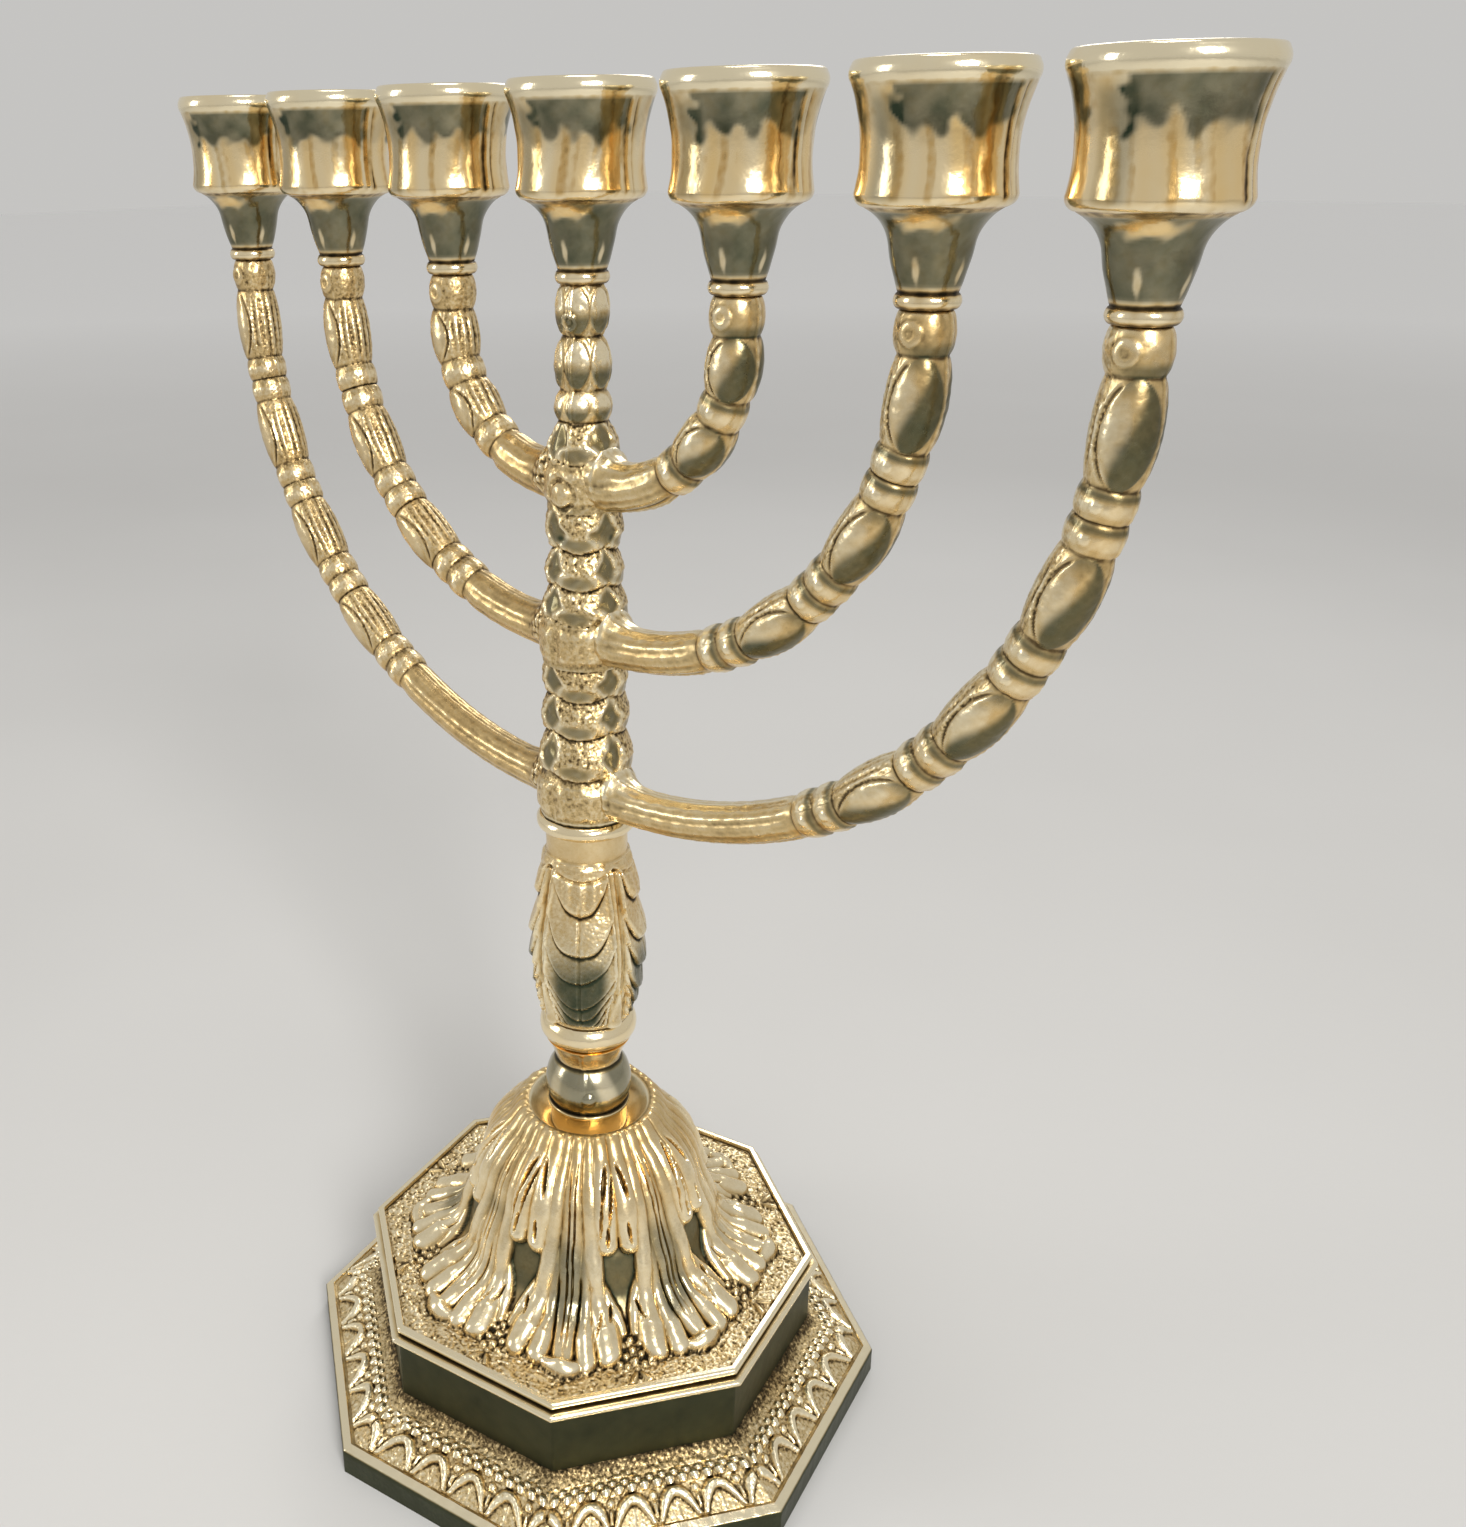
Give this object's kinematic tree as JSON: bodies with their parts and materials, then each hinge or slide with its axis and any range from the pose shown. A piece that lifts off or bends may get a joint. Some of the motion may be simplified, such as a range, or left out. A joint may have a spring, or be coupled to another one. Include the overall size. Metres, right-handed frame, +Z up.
{
  "type": "seven-branch menorah",
  "caption": "Cast brass candelabrum with branches in nested arcs that carry a level row of candle cups over a leafy octagonal base; holds candles upright.",
  "frame": {"origin": "middle of the underside of the foot", "axes": "+Z up, +X along the row of cups, +Y to the back as the picture sees it"},
  "size_m": [0.2182, 0.1218, 0.2602],
  "materials": {
    "antique_brass": "cast brass, stippled and chased, antiqued dark in the recesses and burnished on the high places",
    "polished_brass": "turned brass, polished smooth, with a thin warm patina",
    "plated_steel": "zinc-plated steel, slightly dulled"
  },
  "bodies": {
    "stand": {"foot_tier": "antique_brass", "base_dome": "antique_brass", "screw_posts": "antique_brass", "base_screws": "plated_steel", "stem_bulb": "polished_brass", "stem_ring": "polished_brass", "leaf_baluster": "antique_brass", "collar_ring": "polished_brass"},
    "candelabrum": {"trunk": "antique_brass", "branch_inner_left": "antique_brass", "branch_inner_right": "antique_brass", "branch_middle_left": "antique_brass", "branch_middle_right": "antique_brass", "branch_outer_left": "antique_brass", "branch_outer_right": "antique_brass", "candle_cup_1": "polished_brass", "candle_cup_2": "polished_brass", "candle_cup_3": "polished_brass", "candle_cup_4": "polished_brass", "candle_cup_5": "polished_brass", "candle_cup_6": "polished_brass", "candle_cup_7": "polished_brass", "tie_rod": "plated_steel", "tie_washer": "plated_steel", "tie_nut": "plated_steel"}
  },
  "joints": [
    {"name": "turn_on_stand", "type": "hinge", "parent": "stand", "child": "candelabrum", "pos_m": [0, 0, 0.1308], "axis": [0, 0, 1], "continuous": true}
  ]
}
